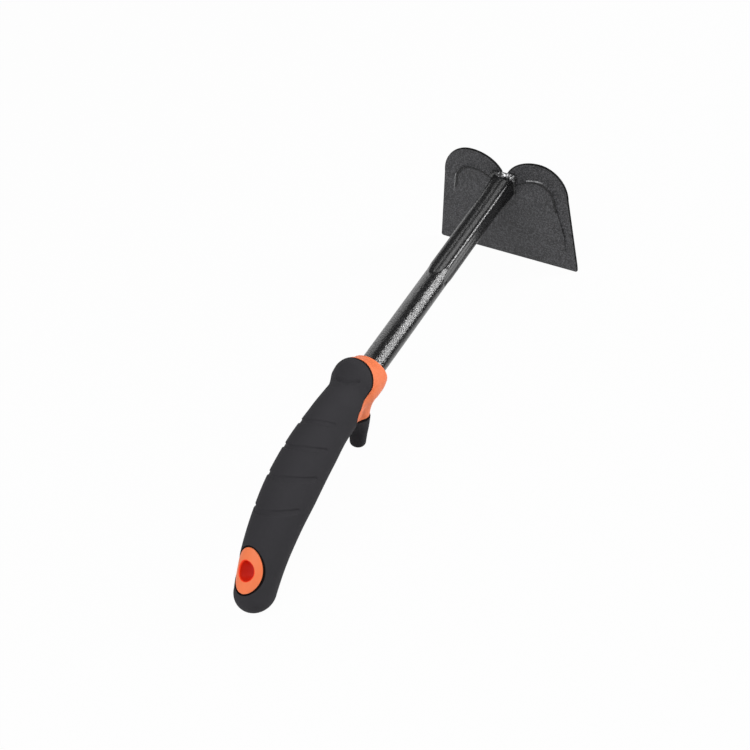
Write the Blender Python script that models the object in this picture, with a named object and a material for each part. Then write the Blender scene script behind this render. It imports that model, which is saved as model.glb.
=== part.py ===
"""A hand hoe: a pressed steel blade welded to a fluted steel tube, with a two-material grip.

Run it with: blender --background --python part.py, or from Blender's text editor.
Sizes are in metres. Every piece is drawn in the tool's own frame: the tube lies along X with its
axis through the origin, the blade's front face crosses that axis at X = 0, the grip is at +X, and
the blade hangs down along -Z. The whole tool then tips about Y until the blade's edge and the butt
of the grip stand on Z = 0.
"""

import math

import bmesh
import bpy
import numpy as np
from mathutils import Matrix, Vector

MM = 0.001

# Clearance that is left where two pieces touch
FIT = 0.3 * MM

# Blade: distances along it are measured down its face from the tube's axis
BLADE_THICKNESS = 2.0 * MM
BLADE_LEAN = math.radians(3.6)
BLADE_EDGE_WIDTH = 127.0 * MM
BLADE_SHOULDER_WIDTH = 110.2 * MM
BLADE_DEPTH_BELOW_AXIS = 72.7 * MM
BLADE_LOBE_HEIGHT = 25.3 * MM
BLADE_LOBE_SPACING = 59.4 * MM
BLADE_SHOULDER_DROP = 2.8 * MM
BLADE_NOTCH_HEIGHT = 13.0 * MM
BLADE_NOTCH_WIDTH = 5.0 * MM
BLADE_CORNER_RADIUS = 2.0 * MM
EDGE_BEVEL_HEIGHT = 6.0 * MM
EDGE_LAND = 0.8 * MM

# Pressed panel of the blade, which stands out towards the grip and fades out above the edge
PANEL_RISE = 1.0 * MM
PANEL_SLOPE_WIDTH = 2.5 * MM
PANEL_SIDE_MARGIN = 8.8 * MM
PANEL_LOBE_DROP = 15.3 * MM
PANEL_NOTCH_DEPTH = 2.0 * MM
PANEL_NOTCH_WIDTH = 14.0 * MM
PANEL_BOTTOM_MARGIN = 8.0 * MM
PANEL_FADE_LENGTH = 20.0 * MM

# Tube
TUBE_DIAMETER = 19.0 * MM
TUBE_WALL = 1.5 * MM
FLUTE_DEPTH = 2.1 * MM
FLUTE_CREST_RISE = 0.7 * MM
FLUTE_RUN_OUT = 9.0 * MM
FLUTE_LENGTH = 114.0 * MM
TUBE_FLARE = 1.4 * MM
TUBE_FLARE_LENGTH = 30.0 * MM
TUBE_INSERTION = 94.0 * MM

# Weld and the plug in the tube's hidden end
WELD_LEG = 3.4 * MM
PLUG_LENGTH = 12.0 * MM
PLUG_FLANGE = 1.6 * MM

# Grip: stations along its centreline, which runs straight and then bends down
GRIP_FRONT = 216.0 * MM
GRIP_STRAIGHT_LENGTH = 53.0 * MM
GRIP_BEND_RADIUS = 155.0 * MM
GRIP_BEND_ANGLE = math.radians(48.0)
BUTT_DOME_LENGTH = 15.0 * MM
COVER_THICKNESS = 3.0 * MM
COLLAR_RECESS = 0.8 * MM

# Each row: distance along the centreline, how far the half height and the half width of the grip
# go beyond the tube's radius, and how far the section is lifted above the centreline
GRIP_SECTIONS = np.array([
    (0.0, 3.3, 3.7, -0.4),
    (3.0, 4.1, 4.9, -0.7),
    (6.0, 7.3, 6.3, 0.1),
    (9.0, 10.0, 7.3, 1.6),
    (12.0, 11.1, 7.6, 2.8),
    (15.0, 11.2, 8.2, 3.7),
    (19.0, 11.0, 8.4, 4.6),
    (23.0, 9.8, 8.3, 4.5),
    (28.0, 8.4, 6.6, 4.0),
    (33.0, 7.4, 5.4, 3.3),
    (39.0, 8.3, 6.4, 1.9),
    (55.0, 10.2, 6.4, 1.9),
    (82.0, 10.5, 8.4, 1.6),
    (109.0, 10.5, 9.1, 1.8),
    (135.0, 9.8, 7.8, 2.6),
    (160.0, 8.8, 6.0, 3.1),
    (182.9, 7.3, 4.3, 2.3),
]) * MM

# Shallow bands pressed across the top of the grip. Each row: distance along the centreline and the
# angle from the top, in degrees, at which the band ends. A band bows forward at its apex
BANDS = np.array([
    (70.5, 46.0),
    (89.4, 56.0),
    (109.9, 66.0),
    (131.7, 60.0),
])
BAND_SAG = 10.0 * MM
BAND_APEX = math.radians(-20)
BAND_FAR_END = math.radians(-100)
BAND_WIDTH = 3.4 * MM
BAND_DEPTH = 0.6 * MM
BAND_END_FADE = math.radians(8)
BOW_LENGTH = 22.0 * MM

# Finger guard: each row is X behind the grip's front, Z, half thickness along X, half width along Y
GUARD_SECTIONS = np.array([
    (31.5, -6.0, 15.5, 10.5),
    (29.3, -16.0, 13.5, 10.2),
    (26.3, -24.0, 9.3, 9.8),
    (26.8, -32.0, 6.8, 8.4),
    (29.2, -40.0, 5.6, 7.0),
    (31.6, -46.0, 5.2, 6.4),
]) * MM
GUARD_TIP_DOME = 3.0 * MM
GUARD_TIP_BLUNTNESS = 2.6
GUARD_COVER_THICKNESS = 2.0 * MM

# Side outline of the part of the core that shows, as X behind the grip's front and Z
SHOWN_ZONE = np.array([
    (-8.0, 45.0),
    (12.0, 45.0),
    (12.0, 27.0),
    (12.4, 23.4),
    (14.3, 20.0),
    (16.8, 17.0),
    (22.5, 11.3),
    (27.7, 8.2),
    (35.0, 5.2),
    (42.1, 2.8),
    (45.2, -1.2),
    (45.6, -5.4),
    (43.5, -11.5),
    (38.5, -18.0),
    (29.0, -21.3),
    (19.5, -24.2),
    (6.0, -28.5),
    (-8.0, -28.5),
]) * MM

# Eye at the butt: an oval of the core that shows, with the slot that the tool hangs by
EYE_BEFORE_END = 15.7 * MM
EYE_SIDE_SHIFT = 1.5 * MM
EYE_LENGTH = 32.4 * MM
EYE_WIDTH = 23.0 * MM
EYE_RECESS = 0.3 * MM
SLOT_LENGTH = 14.0 * MM
SLOT_WIDTH = 12.6 * MM

# How far a cutting helper reaches past what it cuts
CUT_REACH = 40.0 * MM
BEVEL_CUT_REACH = 10.0 * MM

# Fineness of the round forms
AROUND_TUBE = 32
AROUND_GRIP = 32
AROUND_CORE = 24
ARC_POINTS = 9

TUBE_RADIUS = TUBE_DIAMETER / 2
TUBE_END = GRIP_FRONT + TUBE_INSERTION
GRIP_LENGTH = GRIP_STRAIGHT_LENGTH + GRIP_BEND_RADIUS * GRIP_BEND_ANGLE


def clear_scene():
    for old in list(bpy.data.objects):
        bpy.data.objects.remove(old)


def material(name, color, roughness, metallic=0.0):
    made = bpy.data.materials.new(name)
    made.use_nodes = True
    shader = made.node_tree.nodes["Principled BSDF"]
    shader.inputs["Base Color"].default_value = (*color, 1.0)
    shader.inputs["Roughness"].default_value = roughness
    shader.inputs["Metallic"].default_value = metallic
    return made


def add_object(name, points, faces):
    """An object from points and faces, with its faces pointing out."""
    mesh = bpy.data.meshes.new(name)
    mesh.from_pydata([tuple(p) for p in points], [], faces)
    shape = bmesh.new()
    shape.from_mesh(mesh)
    bmesh.ops.recalc_face_normals(shape, faces=shape.faces)
    shape.to_mesh(mesh)
    shape.free()
    made = bpy.data.objects.new(name, mesh)
    bpy.context.scene.collection.objects.link(made)
    return made


def loft(name, rings):
    """A closed solid through rings of equal count, with a flat cap at each end."""
    count = len(rings[0])
    points = np.concatenate(rings)
    faces = [tuple(range(count)), tuple((len(rings) - 1) * count + i for i in range(count))]
    for r in range(len(rings) - 1):
        for i in range(count):
            j = (i + 1) % count
            faces.append((r * count + i, r * count + j, (r + 1) * count + j, (r + 1) * count + i))
    return add_object(name, points, faces)


def closed_band(name, rings):
    """A closed ring-shaped solid: the last ring joins the first."""
    count = len(rings[0])
    points = np.concatenate(rings)
    faces = []
    for r in range(len(rings)):
        after = (r + 1) % len(rings)
        for i in range(count):
            j = (i + 1) % count
            faces.append((r * count + i, r * count + j, after * count + j, after * count + i))
    return add_object(name, points, faces)


def combine(target, other, operation):
    """Applies one exact Boolean and removes the helper."""
    cut = target.modifiers.new("cut", "BOOLEAN")
    cut.object = other
    cut.operation = operation
    graph = bpy.context.evaluated_depsgraph_get()
    result = bpy.data.meshes.new_from_object(target.evaluated_get(graph))
    target.modifiers.clear()
    target.data = result
    bpy.data.objects.remove(other)
    return target


def finish(piece, finish_material, sharp_degrees=35):
    piece.data.materials.clear()
    piece.data.materials.append(finish_material)
    piece.data.shade_smooth()
    piece.data.set_sharp_from_angle(angle=math.radians(sharp_degrees))
    return piece


def smooth_step(t):
    t = np.clip(t, 0.0, 1.0)
    return t * t * (3 - 2 * t)


def smooth_curve(knots, values, at):
    """Cubic through the knots whose slopes are limited, so that it never overshoots them."""
    knots, values = np.asarray(knots, float), np.asarray(values, float)
    step = np.diff(knots)
    rise = np.diff(values) / step
    slope = np.zeros(len(knots))
    same = rise[:-1] * rise[1:] > 0
    mean = 2 * rise[:-1] * rise[1:] / np.where(same, rise[:-1] + rise[1:], 1.0)
    slope[1:-1] = np.where(same, mean, 0.0)
    slope[0], slope[-1] = rise[0], rise[-1]
    at = np.clip(at, knots[0], knots[-1])
    i = np.clip(np.searchsorted(knots, at) - 1, 0, len(step) - 1)
    t = (at - knots[i]) / step[i]
    return ((2 * t**3 - 3 * t**2 + 1) * values[i] + (t**3 - 2 * t**2 + t) * step[i] * slope[i]
            + (3 * t**2 - 2 * t**3) * values[i + 1] + (t**3 - t**2) * step[i] * slope[i + 1])


def arc(centre, radii, start_degrees, end_degrees, count=ARC_POINTS):
    """Points of an elliptical arc, as across and down."""
    angle = np.radians(np.linspace(start_degrees, end_degrees, count))
    return np.stack([centre[0] + radii[0] * np.cos(angle), centre[1] + radii[1] * np.sin(angle)], 1)


def lobed_outline(top_width, bottom_width, lobe_spacing, lobe_top, shoulder, notch, notch_width,
                  bottom, corner):
    """The blade's outline, as across and down: two lobes with a notch between, straight sides."""
    half_top, half_bottom, lobe = top_width / 2, bottom_width / 2, lobe_spacing / 2
    half_notch = notch_width / 2
    # the lobe's inner side is the part of a quarter ellipse that ends at the notch's mouth
    inner_radius = 1.1 * (lobe - half_notch)
    cosine = (lobe - half_notch) / inner_radius
    inner_height = (notch - lobe_top) / (1 - math.sqrt(1 - cosine * cosine))
    start = 180 + math.degrees(math.acos(cosine))
    inner = arc((lobe, lobe_top + inner_height), (inner_radius, inner_height), start, 270)
    outer = arc((lobe, shoulder), (half_top - lobe, shoulder - lobe_top), -90, 0)[1:]
    low = arc((half_bottom - corner, bottom - corner), (corner, corner), 0, 90, 4)
    valley = arc((0.0, notch), (half_notch, half_notch), 90, 0, 4)[:-1]
    right = np.concatenate([valley, inner, outer, low])
    left = right[:0:-1] * (-1, 1)
    return np.concatenate([right, left])


def blade_points(outline, stand_off):
    """Places outline points on the leaning blade, a distance in front of its face."""
    across, down = outline[:, 0], outline[:, 1]
    lean_sin, lean_cos = math.sin(BLADE_LEAN), math.cos(BLADE_LEAN)
    return np.stack([down * lean_sin + stand_off * lean_cos, across, -down * lean_cos + stand_off * lean_sin], 1)


def blade():
    rim = lobed_outline(BLADE_SHOULDER_WIDTH, BLADE_EDGE_WIDTH, BLADE_LOBE_SPACING, -BLADE_LOBE_HEIGHT,
                        BLADE_SHOULDER_DROP, -BLADE_NOTCH_HEIGHT, BLADE_NOTCH_WIDTH,
                        BLADE_DEPTH_BELOW_AXIS, BLADE_CORNER_RADIUS)

    def panel(inset, fade):
        bottom = BLADE_DEPTH_BELOW_AXIS - PANEL_BOTTOM_MARGIN
        taper = (BLADE_EDGE_WIDTH - BLADE_SHOULDER_WIDTH) * PANEL_BOTTOM_MARGIN / BLADE_DEPTH_BELOW_AXIS
        return lobed_outline(
            BLADE_SHOULDER_WIDTH - 2 * (PANEL_SIDE_MARGIN + inset),
            BLADE_EDGE_WIDTH - taper - 2 * (PANEL_SIDE_MARGIN + inset),
            BLADE_LOBE_SPACING,
            -BLADE_LOBE_HEIGHT + PANEL_LOBE_DROP + inset,
            BLADE_SHOULDER_DROP + PANEL_LOBE_DROP / 2,
            PANEL_NOTCH_DEPTH,
            PANEL_NOTCH_WIDTH + 2 * inset,
            bottom - fade,
            3 * BLADE_CORNER_RADIUS,
        )

    # the panel's front is in the plane that the tube's end meets, and the rim lies behind it
    flat, foot = panel(PANEL_SLOPE_WIDTH, PANEL_FADE_LENGTH), panel(0.0, 0.0)
    rings = [
        blade_points(flat, 0.0),
        blade_points(foot, -PANEL_RISE),
        blade_points(rim, -PANEL_RISE),
        blade_points(rim, -PANEL_RISE - BLADE_THICKNESS),
        blade_points(foot, -PANEL_RISE - BLADE_THICKNESS),
        blade_points(flat, -BLADE_THICKNESS),
    ]
    plate = loft("blade", rings)
    # ground bevel on the far side of the cutting edge
    half = BLADE_EDGE_WIDTH / 2 + BEVEL_CUT_REACH
    back, land = -PANEL_RISE - BLADE_THICKNESS, -PANEL_RISE - EDGE_LAND
    rise = BEVEL_CUT_REACH * (BLADE_THICKNESS - EDGE_LAND) / EDGE_BEVEL_HEIGHT
    profile = np.array([
        (BLADE_DEPTH_BELOW_AXIS - EDGE_BEVEL_HEIGHT, back),
        (BLADE_DEPTH_BELOW_AXIS, land),
        (BLADE_DEPTH_BELOW_AXIS + BEVEL_CUT_REACH, land + rise),
        (BLADE_DEPTH_BELOW_AXIS + BEVEL_CUT_REACH, back - BEVEL_CUT_REACH),
        (BLADE_DEPTH_BELOW_AXIS - EDGE_BEVEL_HEIGHT, back - BEVEL_CUT_REACH),
    ])
    sides = [np.concatenate([blade_points(np.array([(across, down)]), out) for down, out in profile])
             for across in (-half, half)]
    return combine(plate, loft("bevel_cutter", sides), "DIFFERENCE")


def tube_radius(angle, x):
    """Outer radius at an angle from the top and a distance from the blade: round, then four flutes."""
    strength = smooth_step((FLUTE_LENGTH - x) / FLUTE_RUN_OUT + 0.5)
    flare = TUBE_FLARE * smooth_step(1 - x / TUBE_FLARE_LENGTH)
    middle = (FLUTE_CREST_RISE - FLUTE_DEPTH) / 2
    swing = (FLUTE_CREST_RISE + FLUTE_DEPTH) / 2
    return TUBE_RADIUS + flare + strength * (middle - swing * np.cos(4 * angle))


def tube_ring(x, inward=0.0, stand_off=FIT):
    """A ring of the tube. Near the blade the rings lean with its face and stand off it."""
    angle = np.linspace(0, 2 * math.pi, AROUND_TUBE, endpoint=False)
    radius = tube_radius(angle, x) - inward
    height = radius * np.cos(angle)
    lean = -height * math.tan(BLADE_LEAN) * (1 - smooth_step(x / TUBE_FLARE_LENGTH))
    stand = stand_off * (1 - smooth_step(x / TUBE_FLARE_LENGTH))
    return np.stack([x + lean + stand, radius * np.sin(angle), height], 1)


def shank_tube():
    stops = np.concatenate([
        np.linspace(0, TUBE_FLARE_LENGTH, 6),
        np.linspace(FLUTE_LENGTH - FLUTE_RUN_OUT / 2, FLUTE_LENGTH + FLUTE_RUN_OUT / 2, 6),
        [GRIP_FRONT, TUBE_END],
    ])
    outer = [tube_ring(x) for x in stops]
    inner = [tube_ring(x, TUBE_WALL) for x in stops[::-1]]
    return closed_band("shank_tube", outer + inner)


def weld_bead():
    """A fillet all round the tube's end, against the blade."""
    bulge = 0.62 * WELD_LEG

    def ring(x, out):
        points = tube_ring(0.0, -FIT - out)
        points[:, 0] += x
        return points

    return closed_band("weld_bead", [
        ring(0.0, 0.0),
        ring(0.0, WELD_LEG),
        ring(bulge / 2, 0.93 * WELD_LEG),
        ring(bulge, bulge),
        ring(0.93 * WELD_LEG, bulge / 2),
        ring(WELD_LEG, 0.0),
    ])


def tube_plug():
    """Closes the tube's hidden end: a plug with a flange that covers the tube's rim."""
    angle = np.linspace(0, 2 * math.pi, AROUND_CORE, endpoint=False)

    def ring(x, radius):
        return np.stack([np.full(len(angle), x), radius * np.sin(angle), radius * np.cos(angle)], 1)

    bore = TUBE_RADIUS - TUBE_WALL - FIT
    back = TUBE_END + FIT
    return loft("tube_plug", [
        ring(TUBE_END - PLUG_LENGTH, bore - 1.0 * MM),
        ring(TUBE_END - PLUG_LENGTH + 1.5 * MM, bore),
        ring(back, bore),
        ring(back, TUBE_RADIUS),
        ring(back + PLUG_FLANGE, TUBE_RADIUS),
    ])


def grip_line(s):
    """Centreline of the grip at a distance from its front: point X, Z and the turn from level."""
    turn = np.maximum(0.0, s - GRIP_STRAIGHT_LENGTH) / GRIP_BEND_RADIUS
    x = GRIP_FRONT + np.minimum(s, GRIP_STRAIGHT_LENGTH) + GRIP_BEND_RADIUS * np.sin(turn)
    return x, -GRIP_BEND_RADIUS * (1 - np.cos(turn)), turn


def band_bow(s, angle):
    """How far forward the bow of the bands moves a point. It swells before the first band and fades
    after the last one, so that the rings in between follow the bands."""
    first, last = BANDS[0, 0] * MM, BANDS[-1, 0] * MM
    share = smooth_step((s - first + BOW_LENGTH) / BOW_LENGTH) * smooth_step((last + BOW_LENGTH - s) / BOW_LENGTH)
    turned = np.clip(angle - BAND_APEX, BAND_FAR_END - BAND_APEX, BAND_APEX - BAND_FAR_END)
    return share * BAND_SAG * (1 - np.cos(turned))


def band_depth(s, angle):
    """How deep the shallow bands lie on the ring at s, at each angle from the grip's top."""
    depth = np.zeros(len(angle))
    for place, end_degrees in BANDS:
        inside = np.minimum(math.radians(end_degrees) - angle, angle - BAND_FAR_END)
        depth += BAND_DEPTH * smooth_step(inside / BAND_END_FADE) * float(abs(s - place * MM) < BAND_WIDTH * 0.35)
    return depth


def grip_ring(s, inset, around, shrink=1.0, beyond=0.0, bands=False):
    """One section of the grip, square to its centreline. beyond pushes it on along the centreline."""
    angle = np.linspace(-math.pi, math.pi, around, endpoint=False)
    cut = band_depth(s, angle) if bands else 0.0
    place = s - band_bow(s, angle) if bands else s + 0.0 * angle
    knots = GRIP_SECTIONS[:, 0] * GRIP_LENGTH / GRIP_SECTIONS[-1, 0]
    over_height, over_width, lift = (smooth_curve(knots, GRIP_SECTIONS[:, c], place) for c in (1, 2, 3))
    half_height, half_width = TUBE_RADIUS + over_height, TUBE_RADIUS + over_width
    x, z, turn = grip_line(place)
    up = ((half_height - inset) * shrink - cut) * np.cos(angle) + lift
    across = ((half_width - inset) * shrink - cut) * np.sin(angle)
    return np.stack([x + up * np.sin(turn) + beyond * np.cos(turn), across,
                     z + up * np.cos(turn) - beyond * np.sin(turn)], 1)


def grip_body(name, inset, around, bands=False, steps=20):
    """The grip's long body, drawn in by inset on every side."""
    stops = set(np.linspace(0, GRIP_LENGTH, steps)) | set(GRIP_SECTIONS[1:12, 0])
    stops = [inset] + [s for s in stops if s > inset + FIT]
    if bands:
        centres = BANDS[:, 0] * MM
        edges = [c + side * BAND_WIDTH for c in centres for side in (-0.5, -0.25, 0.25, 0.5)]
        stops = [s for s in stops if min(abs(s - c) for c in centres) > 0.8 * BAND_WIDTH] + edges
    rings = [grip_ring(s, inset, around, bands=bands) for s in sorted(stops)]
    for t in (0.3, 0.55, 0.77, 0.92, 0.985):
        rings.append(grip_ring(GRIP_LENGTH, inset, around, math.sqrt(1 - t * t), t * (BUTT_DOME_LENGTH - inset)))
    return loft(name, rings)


def guard_body(name, inset, around):
    """The finger guard that hangs from the grip's front, drawn in by inset."""
    angle = np.linspace(0, 2 * math.pi, around, endpoint=False)
    depths = -GUARD_SECTIONS[:, 1]
    fine = np.linspace(depths[0], depths[-1], 2 * len(depths))
    middle, thick, wide = (smooth_curve(depths, GUARD_SECTIONS[:, c], fine) for c in (0, 2, 3))
    rows = list(zip(GRIP_FRONT + middle, -fine, thick, wide))
    x, z, thick, wide = rows[-1]
    run = (rows[-1][0] - rows[-2][0]) / (rows[-2][1] - rows[-1][1])
    for t in (0.45, 0.78, 0.96):
        drop = t * (GUARD_TIP_DOME - inset)
        share = math.sqrt(1 - t ** GUARD_TIP_BLUNTNESS)
        rows.append((x + run * drop, z - drop, inset + (thick - inset) * share, inset + (wide - inset) * share))
    rings = [np.stack([x + (thick - inset) * np.cos(angle), (wide - inset) * np.sin(angle),
                       np.full(around, z)], 1) for x, z, thick, wide in rows]
    return loft(name, rings)


def envelope(name, grip_inset, guard_inset, around, bands=False):
    body = grip_body(name, grip_inset, around, bands)
    return combine(body, guard_body("guard_helper", guard_inset, around // 2), "UNION")


def offset_outline(points, distance):
    """Moves each side of a closed outline outwards by a distance."""
    before, after = np.roll(points, 1, 0), np.roll(points, -1, 0)
    along_in, along_out = points - before, after - points
    along_in /= np.linalg.norm(along_in, axis=1)[:, None]
    along_out /= np.linalg.norm(along_out, axis=1)[:, None]
    normal_in = np.stack([-along_in[:, 1], along_in[:, 0]], 1)
    normal_out = np.stack([-along_out[:, 1], along_out[:, 0]], 1)
    middle = normal_in + normal_out
    middle /= np.linalg.norm(middle, axis=1)[:, None]
    return points + distance * middle / (middle * normal_in).sum(1)[:, None]


def shown_zone(grow):
    """The prism across the tool inside which the core shows."""
    outline = offset_outline(SHOWN_ZONE + (GRIP_FRONT, 0), grow)
    return loft("zone_helper", [np.stack([outline[:, 0], np.full(len(outline), y), outline[:, 1]], 1)
                                for y in (-CUT_REACH, CUT_REACH)])


def eye_column(name, length, width, around):
    """An oval column through the butt, square to the centreline."""
    angle = np.linspace(0, 2 * math.pi, around, endpoint=False)
    along, across = length / 2 * np.cos(angle), width / 2 * np.sin(angle) - EYE_SIDE_SHIFT
    x, z, turn = grip_line(GRIP_LENGTH - EYE_BEFORE_END)
    return loft(name, [
        np.stack([x + along * math.cos(turn) + up * math.sin(turn), across,
                  z - along * math.sin(turn) + up * math.cos(turn)], 1)
        for up in (-CUT_REACH, CUT_REACH)])


def tube_bore(name):
    """The hole in the core that the tube and its plug fill."""
    angle = np.linspace(0, 2 * math.pi, AROUND_TUBE, endpoint=False)
    radius = TUBE_RADIUS + FIT
    return loft(name, [np.stack([np.full(AROUND_TUBE, x), radius * np.sin(angle), radius * np.cos(angle)], 1)
                       for x in (GRIP_FRONT - CUT_REACH, TUBE_END + FIT + PLUG_FLANGE + FIT)])


def grip_core():
    """The hard core: hidden body, collar and guard root that show at the front, eye at the butt."""
    core = envelope("grip_core", COVER_THICKNESS, GUARD_COVER_THICKNESS, AROUND_CORE)
    collar = envelope("collar_helper", COLLAR_RECESS, COLLAR_RECESS, AROUND_GRIP)
    combine(core, combine(collar, shown_zone(-FIT), "INTERSECT"), "UNION")
    eye = grip_body("eye_helper", EYE_RECESS, AROUND_GRIP)
    column = eye_column("column_helper", EYE_LENGTH, EYE_WIDTH, AROUND_CORE)
    combine(core, combine(eye, column, "INTERSECT"), "UNION")
    combine(core, tube_bore("bore_helper"), "DIFFERENCE")
    slot = eye_column("slot_helper", SLOT_LENGTH, SLOT_WIDTH, AROUND_CORE)
    return combine(core, slot, "DIFFERENCE")


def grip_cover():
    """The soft cover moulded over the core."""
    cover = envelope("grip_cover", 0.0, 0.0, AROUND_GRIP, bands=True)
    inner = envelope("hollow_helper", COVER_THICKNESS - FIT, GUARD_COVER_THICKNESS - FIT, AROUND_CORE)
    combine(cover, inner, "DIFFERENCE")
    combine(cover, shown_zone(0.0), "DIFFERENCE")
    window = eye_column("window_helper", EYE_LENGTH + 2 * FIT, EYE_WIDTH + 2 * FIT, AROUND_CORE)
    return combine(cover, window, "DIFFERENCE")


def rest_pose(low_front, low_back):
    """The turn about Y and the lift that stand both pieces on Z = 0."""
    front = np.array([v.co for v in low_front.data.vertices])
    back = np.array([v.co for v in low_back.data.vertices])
    turn = 0.0
    for _ in range(12):
        sine, cosine = math.sin(turn), math.cos(turn)
        a = front[np.argmin(front[:, 2] * cosine + front[:, 0] * sine)]
        b = back[np.argmin(back[:, 2] * cosine + back[:, 0] * sine)]
        turn = -math.atan2(b[2] - a[2], b[0] - a[0])
    sine, cosine = math.sin(turn), math.cos(turn)
    return turn, -(a[2] * cosine + a[0] * sine)


def main():
    clear_scene()
    steel = material("hammered_steel", (0.035, 0.036, 0.038), 0.38, 0.55)
    plate = material("textured_plate", (0.06, 0.06, 0.062), 0.55, 0.4)
    hard = material("orange_polypropylene", (0.95, 0.2, 0.05), 0.35)
    soft = material("black_rubber", (0.028, 0.028, 0.03), 0.7)
    grey = material("plug_plastic", (0.2, 0.2, 0.2), 0.5)

    pieces = [
        finish(blade(), plate),
        finish(shank_tube(), steel),
        finish(weld_bead(), steel, 60),
        finish(tube_plug(), grey),
        finish(grip_core(), hard),
        finish(grip_cover(), soft),
    ]
    turn, lift = rest_pose(pieces[0], pieces[-1])
    xs = [v.co.x * math.cos(turn) - v.co.z * math.sin(turn) for p in pieces for v in p.data.vertices]
    frame = bpy.data.objects.new("tool_frame", None)
    bpy.context.scene.collection.objects.link(frame)
    frame.rotation_euler = (0.0, -turn, 0.0)
    frame.location = (-(min(xs) + max(xs)) / 2, 0.0, lift)
    for piece in pieces:
        piece.parent = frame
    print("rest turn", math.degrees(turn), "lift", lift, "shift", frame.location.x)


main()
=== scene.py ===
# %% [markdown]
# # A hand hoe, dressed for its photograph
# The packed model gives the true sizes. This script lays finer surfaces over it: a pressed blade,
# a fluted tube, a lumpy weld and a two-material grip, each worked out with numpy as a function of
# two parameters. The tool is drawn in its own frame, where the tube lies along X, and is then
# tipped into the resting place that it has in the packed model.

# %% Load the packed model
import math

import bmesh
import bpy
import numpy as np
from mathutils import Matrix, Vector


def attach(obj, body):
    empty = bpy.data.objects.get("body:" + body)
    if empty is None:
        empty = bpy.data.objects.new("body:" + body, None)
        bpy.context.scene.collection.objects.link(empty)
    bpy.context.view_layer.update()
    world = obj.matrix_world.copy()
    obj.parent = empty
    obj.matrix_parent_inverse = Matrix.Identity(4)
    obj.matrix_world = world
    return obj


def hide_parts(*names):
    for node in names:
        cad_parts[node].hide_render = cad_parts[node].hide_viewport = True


MM = 0.001
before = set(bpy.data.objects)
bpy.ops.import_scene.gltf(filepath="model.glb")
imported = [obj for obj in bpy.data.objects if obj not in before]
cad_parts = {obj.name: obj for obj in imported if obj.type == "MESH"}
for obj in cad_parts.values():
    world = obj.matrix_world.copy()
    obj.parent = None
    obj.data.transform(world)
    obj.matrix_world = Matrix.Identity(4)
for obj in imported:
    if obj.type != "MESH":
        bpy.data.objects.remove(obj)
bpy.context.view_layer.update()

# %% [markdown]
# ## Where the tool lies
# The tool rests on its blade's edge and on its butt, so its tube slopes a little. Two rings of the
# packed tube, one where the flutes have run out and one at its hidden end, give the line of the
# tube's axis. Everything below is drawn along that line and moved there by `to_row`.

# %% Find the tube's axis in the packed mesh
FLUTES_RUN_OUT = 118.5 * MM
TUBE_END = 310.0 * MM
END_BAND = 1.0 * MM
RING_BAND = 1.2 * MM


def node_points(node):
    """The packed node's corners, each once."""
    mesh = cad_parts[node].data
    points = np.empty(len(mesh.vertices) * 3)
    mesh.vertices.foreach_get("co", points)
    return np.unique(points.reshape(-1, 3).round(7), axis=0)


tube_corners = node_points("shank_tube")
before_end = tube_corners[:, 0].max() - tube_corners[:, 0]
end_centre = tube_corners[before_end < END_BAND].mean(0)
ring_centre = tube_corners[np.abs(before_end - (TUBE_END - FLUTES_RUN_OUT)) < RING_BAND].mean(0)
tool_x = (end_centre - ring_centre) / np.linalg.norm(end_centre - ring_centre)
tool_y = np.array([0.0, 1.0, 0.0])
tool_z = np.cross(tool_x, tool_y)
TOOL_AXES = np.stack([tool_x, tool_y, tool_z])
TOOL_ORIGIN = end_centre - TUBE_END * tool_x
print("tube slopes", round(math.degrees(math.asin(tool_x[2])), 4), "degrees")


def to_row(points):
    """Moves points from the tool's frame to the model's."""
    return TOOL_ORIGIN + points @ TOOL_AXES


# %% [markdown]
# ## Helpers for surfaces
# A surface is a grid of points, rows by columns. A grid may close on itself along either way, and
# corners that fall on the same point are merged, which shuts seams and poles. Such shapes could be
# sculpted by hand as well, but a formula keeps to the measured sizes and is easy to change.

# %% Curves and grids
def smooth_step(t):
    """Rises from 0 to 1 as 3t² - 2t³."""
    t = np.clip(t, 0.0, 1.0)
    return t * t * (3 - 2 * t)


def mix(a, b, t):
    """What lies the share t of the way from a to b."""
    return a + (b - a) * t


def hermite(start, leave, end, arrive, t):
    """Cubic that goes from start to end over t from 0 to 1 and has those two slopes there."""
    return ((2 * t**3 - 3 * t**2 + 1) * start + (t**3 - 2 * t**2 + t) * leave
            + (3 * t**2 - 2 * t**3) * end + (t**3 - t**2) * arrive)


def smooth_curve(knots, values, at):
    """Hermite curve through the knots, each slope the harmonic mean of its neighbours' slopes."""
    step = np.diff(knots)
    rise = np.diff(values) / step
    same = rise[:-1] * rise[1:] > 0
    total = np.where(same, rise[:-1] + rise[1:], 1.0)
    middle = np.where(same, 2 * rise[:-1] * rise[1:] / total, 0.0)
    slope = np.concatenate([rise[:1], middle, rise[-1:]])
    at = np.clip(at, knots[0], knots[-1])
    i = np.clip(np.searchsorted(knots, at) - 1, 0, len(step) - 1)
    t = (at - knots[i]) / step[i]
    return hermite(values[i], step[i] * slope[i], values[i + 1], step[i] * slope[i + 1], t)


def circle(count):
    """Equal angles round a circle, without the repeated last one."""
    return np.linspace(0, 2 * math.pi, count, endpoint=False)


def round_off(radius, count=5):
    """A quarter round as (run, drop) pairs, from radius deep on an end wall over to the face."""
    angle = np.linspace(0, math.pi / 2, count)
    return np.stack([radius * (1 - np.cos(angle)), radius * (1 - np.sin(angle))], 1)


def rolled(ring, place, reach, inset, radius):
    """Rings over a quarter round, from radius deep at place to the face. Reach is how much of
    place a metre takes up, and negative where the round comes up backwards."""
    return [ring(place + run * reach, inset + drop) for run, drop in round_off(radius)]


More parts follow.
